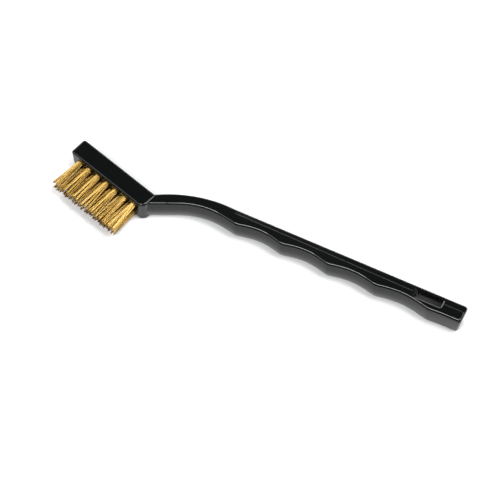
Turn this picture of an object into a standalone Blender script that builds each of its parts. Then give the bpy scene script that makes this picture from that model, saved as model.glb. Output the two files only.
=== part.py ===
"""Small brass wire brush with a one-piece moulded handle.

The brush lies on its side. +X runs along the grip from the head to the butt, -Y is the side
that the bristles and the finger grooves face, and +Z is up. It is drawn with x = 0 at the butt,
y = 0 on the back of the grip and z = 0 halfway through its thickness. At the end one empty
carries it all to the part's own frame: centred over the origin and standing on z = 0.
"""

import math

import bmesh
import bpy
from mathutils import Matrix, Vector

MM = 0.001

# Head: a straight bar that holds the tufts. Its own frame has +X from the tip to the heel,
# y = 0 on its back and the bristle face at y = -HEAD_DEPTH.
HEAD_TIP_BACK = Vector((-177.1 * MM, 2.5 * MM, 0.0))
HEAD_TILT = math.radians(-16.1)
HEAD_LENGTH = 41.4 * MM
HEAD_DEPTH = 8.3 * MM
HEAD_THICKNESS = 11.0 * MM
HEAD_EDGE = 1.0 * MM
TIP_CORNER = 1.2 * MM
TIP_SLANT = 1.2 * MM
HEEL_CORNER = 3.0 * MM

# Shank: neck and grip in one sweep of cross-sections.
SHANK_START = -141.0 * MM
SECTION_STEP = 2.0 * MM
SHANK_THICKNESS = 9.8 * MM
BACK_EDGE = 0.8 * MM
FRONT_EDGE = 1.5 * MM
GRIP_CROWN_RADIUS = 9.5 * MM
BUTT_CROWN_RADIUS = 40.0 * MM
CROWN_FADE = 38.0 * MM
BUTT_ROUND = 1.2 * MM
BUTT_SLANT = 1.3 * MM
BUTT_SLANT_RUN = 12.0 * MM

# Neck: two arcs that start where the grip ends and carry the shank down to the heel.
NECK_BACK_START = -109.0 * MM
NECK_BACK_RADIUS = 55.5 * MM
NECK_FRONT_START = -113.5 * MM
NECK_FRONT_RADIUS = 33.0 * MM
NECK_FRONT_SLOPE = math.radians(25.6)

# Grip: the crests between the finger grooves as (x, width of the grip there), then the depth
# of the groove after each crest.
CRESTS = [
    (-125.0 * MM, 7.4 * MM),
    (-102.0 * MM, 7.65 * MM),
    (-81.0 * MM, 7.8 * MM),
    (-60.0 * MM, 8.1 * MM),
    (-38.5 * MM, 8.35 * MM),
    (-14.5 * MM, 8.7 * MM),
    (-2.5 * MM, 8.2 * MM),
]
GROOVE_DEPTHS = [1.35 * MM, 1.55 * MM, 1.55 * MM, 1.45 * MM, 1.5 * MM, 0.15 * MM]
CREST_SHARPNESS = 0.12

# Crease: a line along each broad side, from which the side falls away to the back edge.
CREASE_START = -112.0 * MM
CREASE_INSET = 2.2 * MM
CREASE_DRIFT = 1.2 * MM
CREASE_DROP = 0.3 * MM

# Hang slot, through both broad sides near the butt.
SLOT_CENTRE = Vector((-16.2 * MM, -3.5 * MM, 0.0))
SLOT_LENGTH = 12.0 * MM
SLOT_WIDTH = 3.6 * MM
SLOT_CORNER = 0.6 * MM

# Tufts: each is a bundle of wire folded over a flat anchor at the bottom of a blind hole.
MIDDLE_COLUMN = 20.9 * MM
TUFT_PITCH = 5.05 * MM
ROW_SPACING = 2.6 * MM
ROWS = {"a": (7, 1), "b": (6, 0), "c": (7, -1)}
HOLE_RADIUS = 1.4 * MM
HOLE_DEPTH = 6.2 * MM
CLEARANCE = 0.3 * MM
TRIM_LENGTH = 14.3 * MM
TUFT_ROOT_RADIUS = HOLE_RADIUS - CLEARANCE
TUFT_TIP_RADIUS = 1.3 * MM
TUFT_TOE = 0.4 * MM
END_LEAN = math.radians(1.5)
SIDE_LEAN = math.radians(-4.0)
ANCHOR_WIDTH = 3.4 * MM
ANCHOR_HEIGHT = 1.3 * MM
ANCHOR_THICKNESS = 0.4 * MM
ANCHOR_FOOT = 1.3 * MM
ANCHOR_LIFT = Matrix.Translation((0.0, 0.0, ANCHOR_FOOT + ANCHOR_HEIGHT / 2 - HOLE_DEPTH))

# Angles past which an edge is rounded by a bevel, and past which it is shaded as sharp.
BEVEL_ANGLE = math.radians(40.0)
SHARP_ANGLE = math.radians(35.0)
WELD_DISTANCE = 0.001 * MM

BRUSH_NAME = "wire_brush"


def clear_scene():
    for obj in list(bpy.data.objects):
        bpy.data.objects.remove(obj, do_unlink=True)


def new_collection(name):
    collection = bpy.data.collections.new(name)
    bpy.context.scene.collection.children.link(collection)
    return collection


def new_material(name, colour, roughness, metallic):
    material = bpy.data.materials.new(name)
    material.use_nodes = True
    shader = material.node_tree.nodes["Principled BSDF"]
    shader.inputs["Base Color"].default_value = (*colour, 1.0)
    shader.inputs["Roughness"].default_value = roughness
    shader.inputs["Metallic"].default_value = metallic
    return material


def new_object(name, data, collection, parent=None):
    obj = bpy.data.objects.new(name, data)
    collection.objects.link(obj)
    obj.parent = parent
    return obj


def new_cutter(name, data, parent=None):
    cutter = new_object(name, data, cutters, parent)
    cutter.hide_render = True
    cutter.display_type = "WIRE"
    return cutter


def new_mesh(name, bm):
    mesh = bpy.data.meshes.new(name)
    bmesh.ops.recalc_face_normals(bm, faces=bm.faces)
    bm.to_mesh(mesh)
    bm.free()
    return mesh


def box_mesh(name, size):
    bm = bmesh.new()
    bmesh.ops.create_cube(bm, size=1.0)
    bmesh.ops.scale(bm, vec=size, verts=bm.verts)
    return new_mesh(name, bm)


def add_bevel(obj, width, segments):
    bevel = obj.modifiers.new("rounded_edges", "BEVEL")
    bevel.width = width
    bevel.segments = segments
    bevel.limit_method = "ANGLE"
    bevel.angle_limit = BEVEL_ANGLE


def add_boolean(obj, operation, other):
    boolean = obj.modifiers.new(other.name, "BOOLEAN")
    boolean.operation = operation
    boolean.solver = "EXACT"
    if isinstance(other, bpy.types.Collection):
        boolean.operand_type = "COLLECTION"
        boolean.collection = other
    else:
        boolean.object = other


def finish_part(obj, material):
    obj.data.materials.clear()
    obj.data.materials.append(material)
    obj.data.shade_smooth()
    obj.data.set_sharp_from_angle(angle=SHARP_ANGLE)


def ease(t):
    t = min(1.0, max(0.0, t))
    return t * t * (3.0 - 2.0 * t)


# Shank -----------------------------------------------------------------------------------------


def back_y(x):
    """Back edge: straight along the grip, then an arc down the neck."""
    run = max(0.0, NECK_BACK_START - x)
    return math.sqrt(NECK_BACK_RADIUS**2 - run**2) - NECK_BACK_RADIUS


def groove_width(x):
    """Width of the grip at x: a concave groove between each two narrow crests."""
    last = len(GROOVE_DEPTHS) - 1
    index = next((i for i in range(last) if x < CRESTS[i + 1][0]), last)
    (start, start_width), (end, end_width) = CRESTS[index], CRESTS[index + 1]
    t = min(1.0, max(0.0, (x - start) / (end - start)))
    bow = math.hypot(math.sin(math.pi * t), CREST_SHARPNESS) - CREST_SHARPNESS
    full_bow = math.hypot(1.0, CREST_SHARPNESS) - CREST_SHARPNESS
    return start_width + (end_width - start_width) * t - GROOVE_DEPTHS[index] * bow / full_bow


def front_y(x):
    """Grooved edge: the finger grooves, then an arc and a straight run down to the heel."""
    if x > NECK_FRONT_START:
        return -groove_width(x)
    arc_run = NECK_FRONT_RADIUS * math.sin(NECK_FRONT_SLOPE)
    run = NECK_FRONT_START - x
    on_arc = min(run, arc_run)
    drop = NECK_FRONT_RADIUS - math.sqrt(NECK_FRONT_RADIUS**2 - on_arc**2)
    drop += (run - on_arc) * math.tan(NECK_FRONT_SLOPE)
    return -groove_width(NECK_FRONT_START) - drop


def arc_points(centre, radius, start, end, steps):
    """Points of an arc in a cross-section; angles run from the back (0) over the top."""
    for i in range(steps + 1):
        angle = start + (end - start) * i / steps
        yield centre[0] + radius * math.cos(angle), centre[1] + radius * math.sin(angle)


def front_points(front, top, crown_radius):
    """Upper half of the grooved side: a small edge radius that runs into a crowned face."""
    reach = crown_radius - FRONT_EDGE
    lift = math.asin((top - FRONT_EDGE) / reach)
    crown_centre = (front + crown_radius, 0.0)
    edge_centre = (crown_centre[0] - reach * math.cos(lift), top - FRONT_EDGE)
    meeting = math.pi - lift
    points = list(arc_points(edge_centre, FRONT_EDGE, math.pi / 2, meeting, 3))
    return points + list(arc_points(crown_centre, crown_radius, meeting, math.pi, 3))[1:]


def shank_section(x, inset):
    """One closed cross-section at x, pulled in by inset; the lower half mirrors the upper."""
    back, front = back_y(x) - inset, front_y(x) + inset
    top = SHANK_THICKNESS / 2 - inset
    along = ease((x - CREASE_START) / -CREASE_START)
    shown = ease((x - CREASE_START) / (4 * CREASE_INSET))
    crease = back - CREASE_INSET - CREASE_DRIFT * along
    back_centre = (back - BACK_EDGE, top - CREASE_DROP * shown - BACK_EDGE)
    flatness = ease(1.0 + x / CROWN_FADE)
    curvature = (1.0 - flatness) / GRIP_CROWN_RADIUS + flatness / BUTT_CROWN_RADIUS
    upper = [(back, 0.0)]
    upper += arc_points(back_centre, BACK_EDGE, 0.0, math.pi / 2, 3)
    upper += [(crease, top)]
    upper += front_points(front, top, 1.0 / curvature)
    lower = [(y, -z) for y, z in reversed(upper[1:-1])]
    slant = BUTT_SLANT / SHANK_THICKNESS * max(0.0, 1.0 + x / BUTT_SLANT_RUN)
    return [Vector((x - slant * (SHANK_THICKNESS / 2 - z), y, z)) for y, z in upper + lower]


def shank_stations():
    """Pairs of x and inset, from inside the head to the rounded butt."""
    straight_end = -BUTT_ROUND
    count = round((straight_end - SHANK_START) / SECTION_STEP)
    for i in range(count + 1):
        yield SHANK_START + (straight_end - SHANK_START) * i / count, 0.0
    rounding_steps = 3
    for i in range(1, rounding_steps + 1):
        angle = math.pi / 2 * i / rounding_steps
        yield straight_end + BUTT_ROUND * math.sin(angle), BUTT_ROUND * (1.0 - math.cos(angle))


def shank_mesh():
    bm = bmesh.new()
    rings = []
    for x, inset in shank_stations():
        rings.append([bm.verts.new(point) for point in shank_section(x, inset)])
    for ring, following in zip(rings, rings[1:]):
        for i in range(len(ring)):
            bm.faces.new((ring[i - 1], ring[i], following[i], following[i - 1]))
    bm.faces.new(rings[0])
    bm.faces.new(reversed(rings[-1]))
    return new_mesh("shank", bm)


# Head ------------------------------------------------------------------------------------------


def head_mesh():
    """The bar with rounded upright corners and a tip that slants in towards the underside."""
    bm = bmesh.new()
    bmesh.ops.create_cube(bm, size=1.0)
    bmesh.ops.translate(bm, vec=(0.5, -0.5, 0.0), verts=bm.verts)
    bmesh.ops.scale(bm, vec=(HEAD_LENGTH, HEAD_DEPTH, HEAD_THICKNESS), verts=bm.verts)
    for corner, radius in (((0.0, 0.0), TIP_CORNER), ((0.0, -HEAD_DEPTH), TIP_CORNER),
                           ((HEAD_LENGTH, -HEAD_DEPTH), HEEL_CORNER)):
        edges = [e for e in bm.edges if upright_at(e, corner)]
        bmesh.ops.bevel(bm, geom=edges, offset=radius, segments=4, profile=0.5,
                        affect="EDGES", clamp_overlap=True)
    for vert in (v for v in bm.verts if v.co.x < HEAD_LENGTH / 2):
        vert.co.x += TIP_SLANT * (0.5 - vert.co.z / HEAD_THICKNESS)
    return new_mesh("head", bm)


def upright_at(edge, corner):
    near = 0.01 * MM
    return all(abs(v.co.x - corner[0]) < near and abs(v.co.y - corner[1]) < near
               for v in edge.verts)


def make_handle(material):
    handle = new_object("handle", shank_mesh(), parts, brush_frame)
    head = new_cutter("head_bar", head_mesh(), head_frame)
    add_bevel(head, HEAD_EDGE, 3)
    add_boolean(handle, "UNION", head)
    slot = new_cutter("slot", box_mesh("slot", (SLOT_LENGTH, SLOT_WIDTH, 2 * SHANK_THICKNESS)),
                      brush_frame)
    slot.location = SLOT_CENTRE
    slot_bevel = slot.modifiers.new("corners", "BEVEL")
    slot_bevel.width = SLOT_CORNER
    slot_bevel.segments = 2
    add_boolean(handle, "DIFFERENCE", slot)
    add_boolean(handle, "DIFFERENCE", sockets)
    finish_part(handle, material)


# Tufts and anchors -----------------------------------------------------------------------------


def tuft_places():
    """Each tuft's label, its place on the bristle face, and how it leans at the tip."""
    for row, (count, side) in ROWS.items():
        for i in range(count):
            offset = (i - (count - 1) / 2) * TUFT_PITCH
            reach = offset / (3 * TUFT_PITCH)
            place = Vector((MIDDLE_COLUMN + offset, -HEAD_DEPTH, side * ROW_SPACING))
            lean = (math.tan(END_LEAN) * reach**3, math.tan(SIDE_LEAN) * side)
            yield f"{row}{i + 1}", place, lean


def set_on_face(obj, place):
    """Local +Z then points out of the bristle face and local +Y up through the thickness."""
    obj.location = place
    obj.rotation_euler = (math.pi / 2, 0.0, 0.0)


def anchor_box(name, margin):
    """The anchor's own shape, or with a margin the room that it needs around it."""
    size = (ANCHOR_WIDTH + 2 * margin, ANCHOR_THICKNESS + 2 * margin, ANCHOR_HEIGHT + 2 * margin)
    mesh = box_mesh(name, size)
    mesh.transform(ANCHOR_LIFT)
    return mesh


def make_socket(label, place):
    """Blind hole for the tuft, with a slit at its foot that the anchor bites into."""
    bm = bmesh.new()
    bmesh.ops.create_cone(bm, cap_ends=True, segments=12, radius1=HOLE_RADIUS,
                          radius2=HOLE_RADIUS, depth=2 * HOLE_DEPTH)
    hole = new_object(f"hole_{label}", new_mesh("hole", bm), sockets, head_frame)
    slit = new_object(f"slit_{label}", anchor_box("slit", CLEARANCE), sockets, head_frame)
    for cutter in (hole, slit):
        set_on_face(cutter, place)
        cutter.hide_render = True
        cutter.display_type = "WIRE"


def tuft_mesh(label, lean):
    """A bundle that stands straight in its hole and flares towards the trimmed tips."""
    foot = CLEARANCE - HOLE_DEPTH
    tip = Vector((lean[0], lean[1], 1.0)) * TRIM_LENGTH
    knots = [
        (Vector((0.0, 0.0, foot)), TUFT_ROOT_RADIUS - TUFT_TOE),
        (Vector((0.0, 0.0, foot + TUFT_TOE)), TUFT_ROOT_RADIUS),
        (Vector((0.0, 0.0, 0.0)), TUFT_ROOT_RADIUS),
        (tip, TUFT_TIP_RADIUS),
    ]
    curve = bpy.data.curves.new(f"bundle_{label}", "CURVE")
    curve.dimensions = "3D"
    curve.bevel_depth = TUFT_ROOT_RADIUS
    curve.bevel_resolution = 3
    curve.use_fill_caps = True
    spline = curve.splines.new("POLY")
    spline.points.add(len(knots) - 1)
    for point, (place, radius) in zip(spline.points, knots):
        point.co = (*place, 1.0)
        point.radius = radius / TUFT_ROOT_RADIUS
    return welded_mesh(new_object(f"bundle_{label}", curve, cutters))


def welded_mesh(obj):
    """The curve's mesh with its end caps joined on; the curve object is removed."""
    bpy.context.view_layer.update()
    graph = bpy.context.evaluated_depsgraph_get()
    mesh = bpy.data.meshes.new_from_object(obj.evaluated_get(graph))
    bpy.data.objects.remove(obj, do_unlink=True)
    bm = bmesh.new()
    bm.from_mesh(mesh)
    bmesh.ops.remove_doubles(bm, verts=bm.verts, dist=WELD_DISTANCE)
    return new_mesh("tuft", bm)


def make_tuft(label, place, lean, material):
    """The bundle, parted around the anchor that it is folded over."""
    tuft = new_object(f"tuft_{label}", tuft_mesh(label, lean), parts, head_frame)
    room = new_cutter(f"room_{label}", anchor_box("room", CLEARANCE), head_frame)
    set_on_face(tuft, place)
    set_on_face(room, place)
    add_boolean(tuft, "DIFFERENCE", room)
    finish_part(tuft, material)


def make_anchor(label, place, material):
    anchor = new_object(f"anchor_{label}", anchor_box("anchor", 0.0), parts, head_frame)
    set_on_face(anchor, place)
    finish_part(anchor, material)


# Assembly --------------------------------------------------------------------------------------


def stand_on_origin():
    """Move the frame so that the whole brush is centred over the origin and stands on z = 0."""
    bpy.context.view_layer.update()
    graph = bpy.context.evaluated_depsgraph_get()
    corners = []
    for obj in (o for o in parts.objects if o.type == "MESH"):
        shape = obj.evaluated_get(graph)
        corners += [shape.matrix_world @ v.co for v in shape.to_mesh().vertices]
    low = Vector(min(c[axis] for c in corners) for axis in range(3))
    high = Vector(max(c[axis] for c in corners) for axis in range(3))
    brush_frame.location = (-(low.x + high.x) / 2, -(low.y + high.y) / 2, -low.z)


clear_scene()
parts = new_collection(BRUSH_NAME)
cutters = new_collection("cutters")
sockets = new_collection("sockets")
black_plastic = new_material("black_plastic", (0.012, 0.012, 0.013), 0.22, 0.0)
brass = new_material("brass_wire", (0.62, 0.40, 0.13), 0.32, 1.0)
steel = new_material("anchor_steel", (0.45, 0.45, 0.46), 0.35, 1.0)
brush_frame = new_object("brush_frame", None, parts)
head_frame = new_object("head_frame", None, parts, brush_frame)
head_frame.location = HEAD_TIP_BACK
head_frame.rotation_euler = (0.0, 0.0, HEAD_TILT)
for tuft_label, tuft_place, tuft_lean in tuft_places():
    make_socket(tuft_label, tuft_place)
    make_tuft(tuft_label, tuft_place, tuft_lean, brass)
    make_anchor(tuft_label, tuft_place, steel)
make_handle(black_plastic)
stand_on_origin()
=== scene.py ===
"""Looks for the small brass wire brush: a finer moulding, real wire in the tufts, a pale studio.

The brush is drawn as it is designed: x = 0 at the butt, y = 0 on the back of the grip, z = 0
halfway through its thickness, +X from head to butt, bristles towards -Y. One offset, read from
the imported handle's box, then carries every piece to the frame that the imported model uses.
"""

import math
import random

import bmesh
import bpy
from mathutils import Matrix, Vector


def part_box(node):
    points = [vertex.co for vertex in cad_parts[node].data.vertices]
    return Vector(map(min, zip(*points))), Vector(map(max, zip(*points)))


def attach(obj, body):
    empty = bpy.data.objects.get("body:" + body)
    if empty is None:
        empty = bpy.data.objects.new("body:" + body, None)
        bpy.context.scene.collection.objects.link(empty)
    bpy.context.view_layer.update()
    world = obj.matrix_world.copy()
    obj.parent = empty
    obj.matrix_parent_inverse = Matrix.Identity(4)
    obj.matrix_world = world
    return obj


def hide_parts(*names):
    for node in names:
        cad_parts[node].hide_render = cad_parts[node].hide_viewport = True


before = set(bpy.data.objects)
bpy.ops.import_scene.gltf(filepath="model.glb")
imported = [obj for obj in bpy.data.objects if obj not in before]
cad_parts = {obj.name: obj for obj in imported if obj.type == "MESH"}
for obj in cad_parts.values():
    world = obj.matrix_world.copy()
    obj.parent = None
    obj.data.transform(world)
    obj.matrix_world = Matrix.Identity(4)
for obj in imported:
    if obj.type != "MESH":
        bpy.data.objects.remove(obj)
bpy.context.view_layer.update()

MM = 0.001
GOLDEN_ANGLE = math.pi * (3.0 - math.sqrt(5.0))

# Head: its own frame has +X from the tip to the heel, y = 0 on its back and the bristle face at
# y = -HEAD_DEPTH.
HEAD_TIP_BACK = Vector((-177.1 * MM, 2.5 * MM, 0.0))
HEAD_TILT = math.radians(-16.1)
HEAD_LENGTH = 41.4 * MM
HEAD_DEPTH = 8.3 * MM
HEAD_THICKNESS = 11.0 * MM
HEAD_EDGE = 1.0 * MM
TIP_CORNER = 1.2 * MM
TIP_SLANT = 1.2 * MM
HEEL_CORNER = 3.0 * MM

# Shank: neck and grip in one sweep of cross-sections.
SHANK_START = -141.0 * MM
SECTION_STEP = 0.7 * MM
SHANK_THICKNESS = 9.8 * MM
BACK_EDGE = 0.8 * MM
FRONT_EDGE = 1.5 * MM
GRIP_CROWN_RADIUS = 9.5 * MM
BUTT_CROWN_RADIUS = 40.0 * MM
CROWN_FADE = 38.0 * MM
BUTT_ROUND = 1.2 * MM
BUTT_SLANT = 1.3 * MM
BUTT_SLANT_RUN = 12.0 * MM
NECK_BACK_START = -109.0 * MM
NECK_BACK_RADIUS = 55.5 * MM
NECK_FRONT_START = -113.5 * MM
NECK_FRONT_RADIUS = 33.0 * MM
NECK_FRONT_SLOPE = math.radians(25.6)

# Grip: the crests between the finger grooves as (x, width), then the depth of each groove.
CRESTS = [
    (-125.0 * MM, 7.4 * MM),
    (-102.0 * MM, 7.65 * MM),
    (-81.0 * MM, 7.8 * MM),
    (-60.0 * MM, 8.1 * MM),
    (-38.5 * MM, 8.35 * MM),
    (-14.5 * MM, 8.7 * MM),
    (-2.5 * MM, 8.2 * MM),
]
GROOVE_DEPTHS = [1.35 * MM, 1.55 * MM, 1.55 * MM, 1.45 * MM, 1.5 * MM, 0.15 * MM]
CREST_SHARPNESS = 0.12

# Crease: a fine raised line along each broad side; behind it the side falls to the back edge.
CREASE_START = -112.0 * MM
CREASE_INSET = 2.2 * MM
CREASE_DRIFT = 1.2 * MM
CREASE_DROP = 0.3 * MM
CREASE_FADE = 4 * CREASE_INSET
CREASE_LINE_WIDTH = 0.22 * MM
CREASE_LINE_HEIGHT = 0.05 * MM

# Hang slot: straight walls, rounded mouths in a shallow rim (width, drop), and at each end a
# sloped lead-in (length, depth).
SLOT_CENTRE = Vector((-16.2 * MM, -3.5 * MM, 0.0))
SLOT_LENGTH = 12.0 * MM
SLOT_WIDTH = 3.6 * MM
SLOT_CORNER = 0.6 * MM
SLOT_MOUTH = 0.2 * MM
SLOT_RIM = (0.4 * MM, 0.12 * MM)
HEAD_RAMP = (1.2 * MM, 1.2 * MM)
BUTT_RAMP = (0.7 * MM, 0.7 * MM)
RAMP_EDGE = 0.3 * MM

# Tufts: hairpins of wire folded over a flat anchor at the bottom of a blind hole.
MIDDLE_COLUMN = 20.9 * MM
TUFT_PITCH = 5.05 * MM
ROW_SPACING = 2.6 * MM
ROWS = {"a": (7, 1), "b": (6, 0), "c": (7, -1)}
HOLE_RADIUS = 1.4 * MM
HOLE_DEPTH = 6.2 * MM
HOLE_RIM = 0.12 * MM
HOLE_SIDES = 28
TRIM_LENGTH = 14.3 * MM
END_LEAN = math.radians(1.5)
SIDE_LEAN = math.radians(-4.0)
ROOT_RADIUS = 1.3 * MM
TIP_SPREAD = 2.45 * MM
TIP_DEPTH = 1.6 * MM

# Wire: a slight crimp, tips drawn together in clumps, and a trim that isn't quite even.
HAIRPINS = 27
WIRE_RADIUS = 0.16 * MM
WIRE_SIDES = 6
WIRE_STEPS = 10
CRIMP_HEIGHT = 0.022 * MM
CRIMP_LENGTH = 8.0 * MM
TRIM_SCATTER = 0.5 * MM
TIP_SCATTER = 0.12 * MM
CLUMPS = 8
CLUMP_PULL = 0.78
CLUMP_TINT = 0.65

# Fold: where the wires bend round the anchor, measured down from the bristle face.
ANCHOR_TOP = 3.4 * MM
ANCHOR_SIDE = 0.45 * MM
SHOULDER_DEPTH = ANCHOR_TOP + 1.2 * MM
FOLD_DEPTH = HOLE_DEPTH - 0.45 * MM
FOLD_SCATTER = 0.5 * MM
FOLD_RISE = 0.15 * MM

FLOOR_CLEARANCE = 0.12 * MM
SEED = 725

# Angles past which an edge is rounded by a bevel, and past which it is shaded as sharp.
BEVEL_ANGLE = math.radians(40.0)
SHARP_PLASTIC = math.radians(32.0)
SHARP_WIRE = math.radians(65.0)

# Scale of a noise that runs in streaks along the wires.
ALONG_WIRE = (1.0, 0.08, 1.0)

# Camera, aimed at a point on the brush's upper side.
VIEW_AIM = Vector((-91.1 * MM, -15.2 * MM, 5.0 * MM))
VIEW_AZIMUTH = math.radians(26.43)
VIEW_ELEVATION = math.radians(59.5)
VIEW_DISTANCE = 1.124
VIEW_ROLL = math.radians(0.2)
LENS_MM = 198.0
SENSOR_MM = 36.0


# Small tools ------------------------------------------------------------------------------------


def ease(t):
    t = min(1.0, max(0.0, t))
    return t * t * (3.0 - 2.0 * t)


def add_object(name, data):
    obj = bpy.data.objects.new(name, data)
    bpy.context.scene.collection.objects.link(obj)
    return obj


def mesh_from(name, bm):
    bmesh.ops.recalc_face_normals(bm, faces=bm.faces)
    mesh = bpy.data.meshes.new(name)
    bm.to_mesh(mesh)
    bm.free()
    return mesh


def loft_mesh(name, rings):
    """Rings of equally many points, joined in order and closed with a flat cap at each end."""
    bm = bmesh.new()
    loops = [[bm.verts.new(point) for point in ring] for ring in rings]
    for loop, following in zip(loops, loops[1:]):
        for i in range(len(loop)):
            bm.faces.new((loop[i - 1], loop[i], following[i], following[i - 1]))
    bm.faces.new(loops[0])
    bm.faces.new(reversed(loops[-1]))
    return mesh_from(name, bm)


def add_boolean(obj, operation, other):
    boolean = obj.modifiers.new(other.name, "BOOLEAN")
    boolean.operation = operation
    boolean.object = other


def apply_modifiers(obj):
    bpy.context.view_layer.update()
    graph = bpy.context.evaluated_depsgraph_get()
    mesh = bpy.data.meshes.new_from_object(obj.evaluated_get(graph))
    obj.modifiers.clear()
    obj.data = mesh


def drop(*objects):
    for obj in objects:
        bpy.data.objects.remove(obj, do_unlink=True)


# Handle -----------------------------------------------------------------------------------------


def back_y(x):
    """Back edge: straight along the grip, then an arc down the neck."""
    run = max(0.0, NECK_BACK_START - x)
    return math.sqrt(NECK_BACK_RADIUS**2 - run**2) - NECK_BACK_RADIUS


def groove_width(x):
    """Width of the grip at x: a concave groove between each two narrow crests."""
    last = len(GROOVE_DEPTHS) - 1
    index = next((i for i in range(last) if x < CRESTS[i + 1][0]), last)
    (start, start_width), (end, end_width) = CRESTS[index], CRESTS[index + 1]
    t = min(1.0, max(0.0, (x - start) / (end - start)))
    bow = math.hypot(math.sin(math.pi * t), CREST_SHARPNESS) - CREST_SHARPNESS
    full_bow = math.hypot(1.0, CREST_SHARPNESS) - CREST_SHARPNESS
    return start_width + (end_width - start_width) * t - GROOVE_DEPTHS[index] * bow / full_bow


def front_y(x):
    """Grooved edge: the finger grooves, then an arc and a straight run down to the heel."""
    if x > NECK_FRONT_START:
        return -groove_width(x)
    arc_run = NECK_FRONT_RADIUS * math.sin(NECK_FRONT_SLOPE)
    run = NECK_FRONT_START - x
    on_arc = min(run, arc_run)
    fall = NECK_FRONT_RADIUS - math.sqrt(NECK_FRONT_RADIUS**2 - on_arc**2)
    fall += (run - on_arc) * math.tan(NECK_FRONT_SLOPE)
    return -groove_width(NECK_FRONT_START) - fall


def arc_points(centre, radius, start, end, steps):
    """Points of an arc in a cross-section; angles run from the back (0) over the top."""
    for i in range(steps + 1):
        angle = start + (end - start) * i / steps
        yield centre[0] + radius * math.cos(angle), centre[1] + radius * math.sin(angle)


def front_points(front, top, crown_radius):
    """Upper half of the grooved side: a small edge radius that runs into a crowned face."""
    reach = crown_radius - FRONT_EDGE
    lift = math.asin((top - FRONT_EDGE) / reach)
    crown_centre = (front + crown_radius, 0.0)
    edge_centre = (crown_centre[0] - reach * math.cos(lift), top - FRONT_EDGE)
    meeting = math.pi - lift
    points = list(arc_points(edge_centre, FRONT_EDGE, math.pi / 2, meeting, 7))
    return points + list(arc_points(crown_centre, crown_radius, meeting, math.pi, 8))[1:]


def crease_points(crease, top, shown):
    """The raised line of the crease, from its back side to its front side."""
    half, height = CREASE_LINE_WIDTH / 2, CREASE_LINE_HEIGHT * shown
    yield crease + 2 * half, top - 0.2 * height
    yield crease + half, top + 0.3 * height
    yield crease, top + height
    yield crease - half, top + 0.3 * height
    yield crease - 2 * half, top


def shank_section(x, inset):
    """One closed cross-section at x, pulled in by inset; the lower half mirrors the upper."""
    back, front = back_y(x) - inset, front_y(x) + inset
    top = SHANK_THICKNESS / 2 - inset
    along = ease((x - CREASE_START) / -CREASE_START)
    shown = ease((x - CREASE_START) / CREASE_FADE)
    crease = back - CREASE_INSET - CREASE_DRIFT * along
    back_centre = (back - BACK_EDGE, top - CREASE_DROP * shown - BACK_EDGE)
    flatness = ease(1.0 + x / CROWN_FADE)
    curvature = (1.0 - flatness) / GRIP_CROWN_RADIUS + flatness / BUTT_CROWN_RADIUS
    upper = [(back, 0.0)]
    upper += arc_points(back_centre, BACK_EDGE, 0.0, math.pi / 2, 6)
    upper += crease_points(crease, top, shown)
    upper += front_points(front, top, 1.0 / curvature)
    lower = [(y, -z) for y, z in reversed(upper[1:-1])]
    slant = BUTT_SLANT / SHANK_THICKNESS * max(0.0, 1.0 + x / BUTT_SLANT_RUN)
    return [Vector((x - slant * (SHANK_THICKNESS / 2 - z), y, z)) for y, z in upper + lower]


def shank_rings():
    """Cross-sections from inside the head to the rounded butt."""
    straight_end = -BUTT_ROUND
    count = round((straight_end - SHANK_START) / SECTION_STEP)
    for i in range(count + 1):
        yield shank_section(SHANK_START + (straight_end - SHANK_START) * i / count, 0.0)
    rounding_steps = 7
    for i in range(1, rounding_steps + 1):
        angle = math.pi / 2 * i / rounding_steps
        along = straight_end + BUTT_ROUND * math.sin(angle)
        yield shank_section(along, BUTT_ROUND * (1.0 - math.cos(angle)))


def rounded_rectangle(low, high, radius, z, corner_steps=5):
    """Corners of an upright rectangle rounded in plan, as one ring at height z."""
    ring = []
    corners = ((high.x, high.y, 0), (low.x, high.y, 1), (low.x, low.y, 2), (high.x, low.y, 3))
    for corner_x, corner_y, quarter in corners:
        centre_x = corner_x + (-radius if corner_x == high.x else radius)
        centre_y = corner_y + (-radius if corner_y == high.y else radius)
        for i in range(corner_steps + 1):
            angle = math.pi / 2 * (quarter + i / corner_steps)
            ring.append(Vector((centre_x + radius * math.cos(angle),
                                centre_y + radius * math.sin(angle), z)))
    return ring


def head_mesh():
    """The bar with rounded upright corners and a tip that slants in towards the underside."""
    bm = bmesh.new()
    bmesh.ops.create_cube(bm, size=1.0)
    bmesh.ops.translate(bm, vec=(0.5, -0.5, 0.0), verts=bm.verts)
    bmesh.ops.scale(bm, vec=(HEAD_LENGTH, HEAD_DEPTH, HEAD_THICKNESS), verts=bm.verts)
    for corner, radius in (((0.0, 0.0), TIP_CORNER), ((0.0, -HEAD_DEPTH), TIP_CORNER),
                           ((HEAD_LENGTH, -HEAD_DEPTH), HEEL_CORNER)):
        edges = [e for e in bm.edges if upright_at(e, corner)]
        bmesh.ops.bevel(bm, geom=edges, offset=radius, segments=10, profile=0.5,
                        affect="EDGES", clamp_overlap=True)
    for vert in (v for v in bm.verts if v.co.x < HEAD_LENGTH / 2):
        vert.co.x += TIP_SLANT * (0.5 - vert.co.z / HEAD_THICKNESS)
    return mesh_from("head", bm)


def upright_at(edge, corner):
    near = 0.01 * MM
    return all(abs(v.co.x - corner[0]) < near and abs(v.co.y - corner[1]) < near
               for v in edge.verts)


def make_head_bar():
    head = add_object("head_bar", head_mesh())
    head.matrix_world = HEAD_FRAME
    bevel = head.modifiers.new("eased_edges", "BEVEL")
    bevel.width = HEAD_EDGE
    bevel.segments = 6
    bevel.limit_method = "ANGLE"
    bevel.angle_limit = BEVEL_ANGLE
    return head


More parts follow.
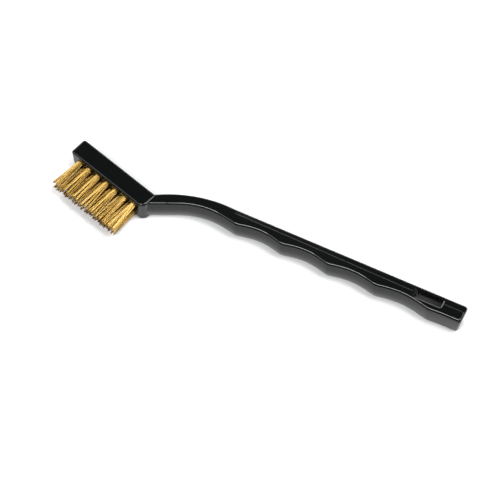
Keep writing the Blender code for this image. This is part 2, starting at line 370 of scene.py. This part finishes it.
def make_slot_cutter():
    """Straight through the grip; each mouth opens in a quarter round and a shallow rim."""
    half = Vector((SLOT_LENGTH / 2, SLOT_WIDTH / 2))
    rim_width, rim_drop = SLOT_RIM
    mouth_steps = 5
    lips = [(SLOT_MOUTH + rim_width * share, SHANK_THICKNESS / 2 - rim_drop * (1.0 - share))
            for share in (1.0, 0.8, 0.2)]
    for i in range(mouth_steps + 1):
        angle = math.pi / 2 * i / mouth_steps
        spread = SLOT_MOUTH * (1.0 - math.sin(angle))
        height = SHANK_THICKNESS / 2 - rim_drop - SLOT_MOUTH * (1.0 - math.cos(angle))
        lips.append((spread, height))
    lips.insert(0, (SLOT_MOUTH + rim_width, SHANK_THICKNESS))
    levels = lips + [(spread, -height) for spread, height in reversed(lips)]
    rings = []
    for spread, height in levels:
        reach = half + Vector((spread, spread))
        rings.append(rounded_rectangle(-reach, reach, SLOT_CORNER + spread, height))
    slot = add_object("slot_cutter", loft_mesh("slot", rings))
    slot.location = SLOT_CENTRE
    return slot


def make_ramp_cutter(name, end, length, depth, up):
    """A wedge that slopes from the broad side down into one end of the slot."""
    side = 1.0 if end > 0.0 else -1.0
    surface = up * SHANK_THICKNESS / 2
    width = SLOT_WIDTH / 2 + SLOT_MOUTH / 2
    wall = SLOT_CENTRE.x + end - side * SLOT_CORNER
    outline = [(wall, surface - up * depth), (wall + side * (length + SLOT_CORNER), surface),
               (wall + side * (length + SLOT_CORNER), surface + up * depth),
               (wall, surface + up * depth)]
    rings = [[Vector((x, SLOT_CENTRE.y + across, z)) for x, z in outline]
             for across in (-width, width)]
    ramp = add_object(name, loft_mesh(name, rings))
    bevel = ramp.modifiers.new("soft_edges", "BEVEL")
    bevel.width = RAMP_EDGE
    bevel.segments = 4
    return ramp


def tuft_places():
    """Each tuft's label, its place on the bristle face, and how it leans at the tip."""
    for row, (count, side) in ROWS.items():
        for i in range(count):
            offset = (i - (count - 1) / 2) * TUFT_PITCH
            reach = offset / (3 * TUFT_PITCH)
            place = Vector((MIDDLE_COLUMN + offset, -HEAD_DEPTH, side * ROW_SPACING))
            lean = Vector((math.tan(END_LEAN) * reach**3, math.tan(SIDE_LEAN) * side, 1.0))
            yield f"{row}{i + 1}", place, lean


def tuft_frame(place):
    """Local +Z points out of the bristle face and local +Y up through the thickness."""
    return HEAD_FRAME @ Matrix.Translation(place) @ Matrix.Rotation(math.pi / 2, 4, "X")


def make_hole_cutter(label, place):
    """A drilled blind hole with a slightly eased rim."""
    mouth = HOLE_RADIUS + HOLE_RIM
    levels = [(HOLE_RADIUS, -HOLE_DEPTH), (HOLE_RADIUS, -HOLE_RIM), (mouth, 0.2 * HOLE_RIM),
              (mouth, HOLE_RADIUS)]
    turns = [math.tau * i / HOLE_SIDES for i in range(HOLE_SIDES)]
    rings = [[Vector((radius * math.cos(turn), radius * math.sin(turn), z)) for turn in turns]
             for radius, z in levels]
    hole = add_object(f"hole_{label}", loft_mesh("hole", rings))
    hole.matrix_world = tuft_frame(place)
    return hole


def make_handle():
    handle = add_object("handle_moulding", loft_mesh("handle_moulding", list(shank_rings())))
    head = make_head_bar()
    cutters = [make_slot_cutter()]
    for up, side in ((1.0, "top"), (-1.0, "under")):
        cutters.append(make_ramp_cutter(f"ramp_head_{side}", -SLOT_LENGTH / 2, *HEAD_RAMP, up))
        cutters.append(make_ramp_cutter(f"ramp_butt_{side}", SLOT_LENGTH / 2, *BUTT_RAMP, up))
    cutters += [make_hole_cutter(label, place) for label, place, _ in tuft_places()]
    add_boolean(handle, "UNION", head)
    for cutter in cutters:
        add_boolean(handle, "DIFFERENCE", cutter)
    apply_modifiers(handle)
    drop(head, *cutters)
    handle.data.shade_smooth()
    handle.data.set_sharp_from_angle(angle=SHARP_PLASTIC)
    weighted = handle.modifiers.new("weighted_normals", "WEIGHTED_NORMAL")
    weighted.keep_sharp = True
    apply_modifiers(handle)
    return handle


def box_centre(corners):
    return (Vector(corners[0]) + Vector(corners[1])) / 2


def own_box(obj):
    points = [obj.matrix_world @ v.co for v in obj.data.vertices]
    return [[pick(p[axis] for p in points) for axis in range(3)] for pick in (min, max)]


# Tufts ------------------------------------------------------------------------------------------


def tube_mesh(name, paths, radius, sides):
    """Round wires along the paths, each with its own tint and its place along the wire."""
    verts, faces, tints, places = [], [], [], []
    for path, tint in paths:
        first = len(verts)
        side = Vector((1.0, 0.0, 0.0))
        for i, point in enumerate(path):
            ahead = (path[min(i + 1, len(path) - 1)] - path[max(i - 1, 0)]).normalized()
            side = (side - ahead * side.dot(ahead)).normalized()
            other = ahead.cross(side)
            for k in range(sides):
                angle = math.tau * k / sides
                verts.append(point + radius * (math.cos(angle) * side + math.sin(angle) * other))
            tints += [tint] * sides
            places += [max(0.0, point.z / TRIM_LENGTH)] * sides
        for i in range(len(path) - 1):
            ring = first + i * sides
            for k in range(sides):
                after = (k + 1) % sides
                faces.append((ring + k, ring + after, ring + sides + after, ring + sides + k))
        last = first + (len(path) - 1) * sides
        faces.append(tuple(first + k for k in reversed(range(sides))))
        faces.append(tuple(last + k for k in range(sides)))
    mesh = bpy.data.meshes.new(name)
    mesh.from_pydata(verts, [], faces)
    for attribute, values in (("wire_tint", tints), ("wire_along", places)):
        mesh.attributes.new(attribute, "FLOAT", "POINT").data.foreach_set("value", values)
    return mesh


def clump_centres(rng):
    """Spots in the tip's outline where wires lean together, each with its own tint."""
    centres = []
    for i in range(CLUMPS):
        reach = math.sqrt((i + 0.5) / CLUMPS)
        angle = i * GOLDEN_ANGLE + rng.uniform(-0.4, 0.4)
        centre = Vector((TIP_SPREAD * reach * math.cos(angle), TIP_DEPTH * reach * math.sin(angle)))
        centres.append((centre, rng.random()))
    return centres


def wire_leg(rng, root, lean, lowest_y, clumps):
    """One leg of a hairpin from beside the anchor to the trimmed tip, and its clump's tint."""
    tip = Vector((root.x * TIP_SPREAD, root.y * TIP_DEPTH)) / ROOT_RADIUS
    clump, tint = min(clumps, key=lambda spot: (spot[0] - tip).length)
    tip = tip.lerp(clump, CLUMP_PULL)
    tip += Vector((rng.gauss(0.0, 1.0), rng.gauss(0.0, 1.0))) * TIP_SCATTER
    length = TRIM_LENGTH + rng.uniform(-1.0, 0.6) * TRIM_SCATTER
    phase, turn = rng.uniform(0.0, math.tau), rng.uniform(0.0, math.tau)
    wave = math.tau / (CRIMP_LENGTH * rng.uniform(0.85, 1.2))
    bend = rng.uniform(1.2, 1.5)
    points = [Vector((root.x * 0.9, root.y * 0.9, -ANCHOR_TOP))]
    for i in range(WIRE_STEPS + 1):
        t = i / WIRE_STEPS
        z = t * length
        spread = t**bend
        crimp = CRIMP_HEIGHT * min(1.0, 2.5 * t) * math.sin(wave * z + phase)
        x = root.x + (tip.x - root.x) * spread + lean.x * z + crimp * math.cos(turn)
        y = root.y + (tip.y - root.y) * spread + lean.y * z + crimp * math.sin(turn)
        points.append(Vector((x, max(y, lowest_y), z)))
    return points, tint


def hairpins(label, place, lean):
    """Wires folded in half over the anchor, each with its tint: one leg leaves above the anchor
    and one below."""
    rng = random.Random(SEED + sum(ord(c) * 31**i for i, c in enumerate(label)))
    lowest_y = FLOOR_CLEARANCE + WIRE_RADIUS - HEAD_THICKNESS / 2 - place.z
    room = ROOT_RADIUS - WIRE_RADIUS
    clumps = clump_centres(rng)
    for i in range(HAIRPINS):
        radius = room * math.sqrt((i + 0.5) / HAIRPINS)
        angle = i * GOLDEN_ANGLE
        x, y = radius * math.cos(angle), abs(radius * math.sin(angle))
        depth = FOLD_DEPTH - rng.uniform(0.0, FOLD_SCATTER)
        beside = ANCHOR_SIDE + 0.5 * y
        upper, shade = wire_leg(rng, Vector((x, y)), lean, lowest_y, clumps)
        lower, _ = wire_leg(rng, Vector((-x, -y)), lean, lowest_y, clumps)
        down = [(0.7 * x, beside, -SHOULDER_DEPTH), (0.35 * x, 0.6 * beside, FOLD_RISE - depth)]
        fold = [Vector(point) for point in down]
        fold.append(Vector((0.0, 0.0, -depth)))
        fold += [Vector((-across, -out, z)) for across, out, z in reversed(down)]
        tint = shade + (rng.random() - shade) * (1.0 - CLUMP_TINT)
        yield list(reversed(upper)) + fold + lower, tint


def make_tuft(label, place, lean):
    mesh = tube_mesh(f"wires_{label}", hairpins(label, place, lean), WIRE_RADIUS, WIRE_SIDES)
    mesh.transform(tuft_frame(place))
    mesh.shade_smooth()
    mesh.set_sharp_from_angle(angle=SHARP_WIRE)
    return add_object(f"tuft_{label}_wires", mesh)


# Materials --------------------------------------------------------------------------------------


class Nodes:
    """A short way to write one material's node tree."""

    def __init__(self, name):
        self.material = bpy.data.materials.new(name)
        self.material.use_nodes = True
        self.tree = self.material.node_tree
        self.shader = self.tree.nodes["Principled BSDF"]
        self.place = self.add("ShaderNodeTexCoord").outputs["Object"]

    def add(self, kind, **settings):
        node = self.tree.nodes.new(kind)
        for name, value in settings.items():
            setattr(node, name, value)
        return node

    def link(self, source, target):
        self.tree.links.new(source, target)

    def noise(self, scale, detail=4.0, stretch=(1.0, 1.0, 1.0), turn=0.0):
        mapping = self.add("ShaderNodeMapping")
        mapping.inputs["Scale"].default_value = stretch
        mapping.inputs["Rotation"].default_value = (0.0, 0.0, turn)
        self.link(self.place, mapping.inputs["Vector"])
        texture = self.add("ShaderNodeTexNoise")
        texture.inputs["Scale"].default_value = scale
        texture.inputs["Detail"].default_value = detail
        self.link(mapping.outputs["Vector"], texture.inputs["Vector"])
        return texture.outputs["Fac"]

    def attribute(self, name):
        return self.add("ShaderNodeAttribute", attribute_name=name).outputs["Fac"]

    def spread(self, source, from_low, from_high, to_low, to_high):
        remap = self.add("ShaderNodeMapRange")
        for socket, value in zip(("From Min", "From Max", "To Min", "To Max"),
                                 (from_low, from_high, to_low, to_high)):
            remap.inputs[socket].default_value = value
        self.link(source, remap.inputs["Value"])
        return remap.outputs["Result"]

    def math(self, operation, first, second):
        node = self.add("ShaderNodeMath", operation=operation)
        for socket, value in zip(node.inputs, (first, second)):
            if isinstance(value, float):
                socket.default_value = value
            else:
                self.link(value, socket)
        return node.outputs["Value"]

    def ramp(self, source, *stops):
        node = self.add("ShaderNodeValToRGB")
        elements = node.color_ramp.elements
        while len(elements) < len(stops):
            elements.new(0.5)
        for element, (position, colour) in zip(elements, stops):
            element.position = position
            element.color = (*colour, 1.0)
        self.link(source, node.inputs["Fac"])
        return node.outputs["Color"]

    def mix(self, factor, first, second, blend="MIX"):
        node = self.add("ShaderNodeMix", data_type="RGBA", blend_type=blend)
        for socket, value in ((node.inputs[0], factor), (node.inputs[6], first),
                              (node.inputs[7], second)):
            if isinstance(value, (float, tuple)):
                socket.default_value = value if isinstance(value, float) else (*value, 1.0)
            else:
                self.link(value, socket)
        return node.outputs[2]

    def bump(self, height, strength, distance):
        node = self.add("ShaderNodeBump")
        node.inputs["Strength"].default_value = strength
        node.inputs["Distance"].default_value = distance
        self.link(height, node.inputs["Height"])
        self.link(node.outputs["Normal"], self.shader.inputs["Normal"])

    def set(self, **values):
        for name, value in values.items():
            socket = self.shader.inputs[name.replace("_", " ")]
            if isinstance(value, (int, float)):
                socket.default_value = value
            else:
                self.link(value, socket)


def black_plastic():
    """Glossy black moulding: faint flow marks, light orange peel and hair-fine scuffs."""
    nodes = Nodes("moulded_black_plastic")
    flow = nodes.noise(60.0, 5.0, (0.25, 1.0, 1.0))
    colour = nodes.ramp(flow, (0.3, (0.0018, 0.0023, 0.0021)), (0.55, (0.0027, 0.0032, 0.0030)),
                        (0.75, (0.0042, 0.0044, 0.0040)))
    cloud = nodes.noise(220.0, 6.0)
    scuffs = nodes.noise(900.0, 3.0, (0.05, 1.0, 1.0))
    scuffed = nodes.spread(scuffs, 0.62, 0.72, 0.0, 0.08)
    roughness = nodes.math("ADD", nodes.spread(cloud, 0.3, 0.7, 0.07, 0.13), scuffed)
    nodes.set(Base_Color=colour, Roughness=roughness, IOR=1.46)
    peel = nodes.math("ADD", nodes.noise(700.0, 2.0), nodes.math("MULTIPLY", scuffs, 0.3))
    nodes.bump(peel, 0.25, 0.00002)
    return nodes.material


def brass_wire():
    """Drawn brass: each wire a little different, with painted shade darkening the trimmed tips."""
    nodes = Nodes("drawn_brass_wire")
    tint = nodes.attribute("wire_tint")
    along = nodes.attribute("wire_along")
    base = nodes.ramp(tint, (0.0, (0.19, 0.105, 0.02)), (0.35, (0.38, 0.235, 0.055)),
                      (0.7, (0.57, 0.38, 0.11)), (1.0, (0.80, 0.60, 0.23)))
    tarnish = nodes.spread(nodes.noise(450.0, 2.0, ALONG_WIRE, -HEAD_TILT), 0.45, 0.7, 0.0, 0.5)
    aged = nodes.mix(tarnish, base, (0.26, 0.15, 0.04))
    # Painted shade: the last three hundredths of each wire's length are mixed towards dark brown,
    # darkening the trimmed tips.
    trimmed_tip_painted_shade = nodes.spread(along, 0.97, 1.0, 0.0, 0.6)
    colour = nodes.mix(trimmed_tip_painted_shade, aged, (0.25, 0.16, 0.07))
    drawn = nodes.noise(2500.0, 3.0, ALONG_WIRE, -HEAD_TILT)
    nodes.set(Base_Color=colour, Metallic=1.0,
              Roughness=nodes.spread(drawn, 0.3, 0.7, 0.28, 0.42))
    nodes.bump(drawn, 0.08, 0.00001)
    return nodes.material


def anchor_steel():
    """Plain flat steel wire with lengthwise drawing marks."""
    nodes = Nodes("anchor_flat_wire")
    marks = nodes.noise(1500.0, 4.0, (0.1, 1.0, 1.0))
    colour = nodes.ramp(marks, (0.3, (0.30, 0.30, 0.31)), (0.7, (0.52, 0.52, 0.53)))
    nodes.set(Base_Color=colour, Metallic=1.0,
              Roughness=nodes.spread(marks, 0.3, 0.7, 0.25, 0.45))
    nodes.bump(marks, 0.2, 0.00001)
    return nodes.material


def give(obj, material):
    obj.data.materials.clear()
    obj.data.materials.append(material)


# Studio -----------------------------------------------------------------------------------------


def make_floor():
    bm = bmesh.new()
    bmesh.ops.create_grid(bm, x_segments=1, y_segments=1, size=3.0)
    floor = add_object("floor", mesh_from("floor", bm))
    nodes = Nodes("pale_floor")
    nodes.set(Base_Color=nodes.ramp(nodes.noise(3.0), (0.0, (0.88, 0.88, 0.88)),
                                    (1.0, (0.92, 0.92, 0.92))), Roughness=0.9)
    give(floor, nodes.material)


def direction(azimuth, elevation):
    """From the brush towards azimuth (0 is -Y, growing towards +X) and elevation, in degrees."""
    a, e = math.radians(azimuth), math.radians(elevation)
    return Vector((math.sin(a) * math.cos(e), -math.cos(a) * math.cos(e), math.sin(e)))


def make_light(name, azimuth, elevation, distance, size, radiance):
    """A soft box that faces the brush; its power follows from the radiance it should show."""
    light = bpy.data.lights.new(name, "AREA")
    light.shape = "RECTANGLE"
    light.size, light.size_y = size
    light.energy = radiance * math.pi * size[0] * size[1]
    box = add_object(name, light)
    towards = direction(azimuth, elevation)
    box.location = towards * distance
    box.rotation_euler = towards.to_track_quat("Z", "Y").to_euler()
    return box


def make_card(*settings):
    """A light that only shows as a reflection, and leaves the floor and its shadows alone."""
    make_light(*settings).visible_diffuse = False


def make_studio():
    make_floor()
    make_light("overhead", 118.0, 76.0, 1.3, (0.55, 0.45), 9.0)
    make_light("key_right", 104.0, 46.0, 1.3, (0.8, 0.7), 5.5)
    make_light("left_scrim", -128.0, 30.0, 1.2, (0.8, 0.5), 4.5)
    make_light("front_strip", -7.0, 58.0, 1.4, (0.8, 0.2), 24.0)
    make_light("front_left_fill", -44.0, 44.0, 1.3, (0.5, 0.4), 3.5)
    make_card("back_card", 194.0, 28.0, 1.4, (1.0, 0.16), 4.5)
    world = bpy.data.worlds.new("dim_room")
    world.use_nodes = True
    backdrop = world.node_tree.nodes["Background"]
    backdrop.inputs["Color"].default_value = (0.9, 0.95, 1.0, 1.0)
    backdrop.inputs["Strength"].default_value = 0.1
    bpy.context.scene.world = world
    bpy.context.scene.view_settings.view_transform = "Standard"


def make_camera():
    camera = add_object("camera", bpy.data.cameras.new("camera"))
    camera.data.lens = LENS_MM
    camera.data.sensor_width = SENSOR_MM
    camera.data.clip_end = 10.0
    back = direction(math.degrees(VIEW_AZIMUTH), math.degrees(VIEW_ELEVATION))
    look = back.to_track_quat("Z", "Y").to_matrix().to_4x4()
    place = Matrix.Translation(BRUSH_ORIGIN + VIEW_AIM + back * VIEW_DISTANCE)
    camera.matrix_world = place @ look @ Matrix.Rotation(-VIEW_ROLL, 4, "Z")
    bpy.context.scene.camera = camera


# Assembly ---------------------------------------------------------------------------------------

HEAD_FRAME = Matrix.Translation(HEAD_TIP_BACK) @ Matrix.Rotation(HEAD_TILT, 4, "Z")
handle = make_handle()
BRUSH_ORIGIN = box_centre(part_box("handle")) - box_centre(own_box(handle))
to_frame = Matrix.Translation(BRUSH_ORIGIN)
handle.data.transform(to_frame)
give(handle, black_plastic())
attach(handle, "root")
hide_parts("handle")

brass = brass_wire()
steel = anchor_steel()
for tuft_label, tuft_place, tuft_lean in tuft_places():
    tuft = make_tuft(tuft_label, tuft_place, tuft_lean)
    tuft.data.transform(to_frame)
    give(tuft, brass)
    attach(tuft, "root")
    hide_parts(f"tuft_{tuft_label}")
    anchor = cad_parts[f"anchor_{tuft_label}"]
    for slot in anchor.material_slots:
        slot.material = steel

make_studio()
make_camera()
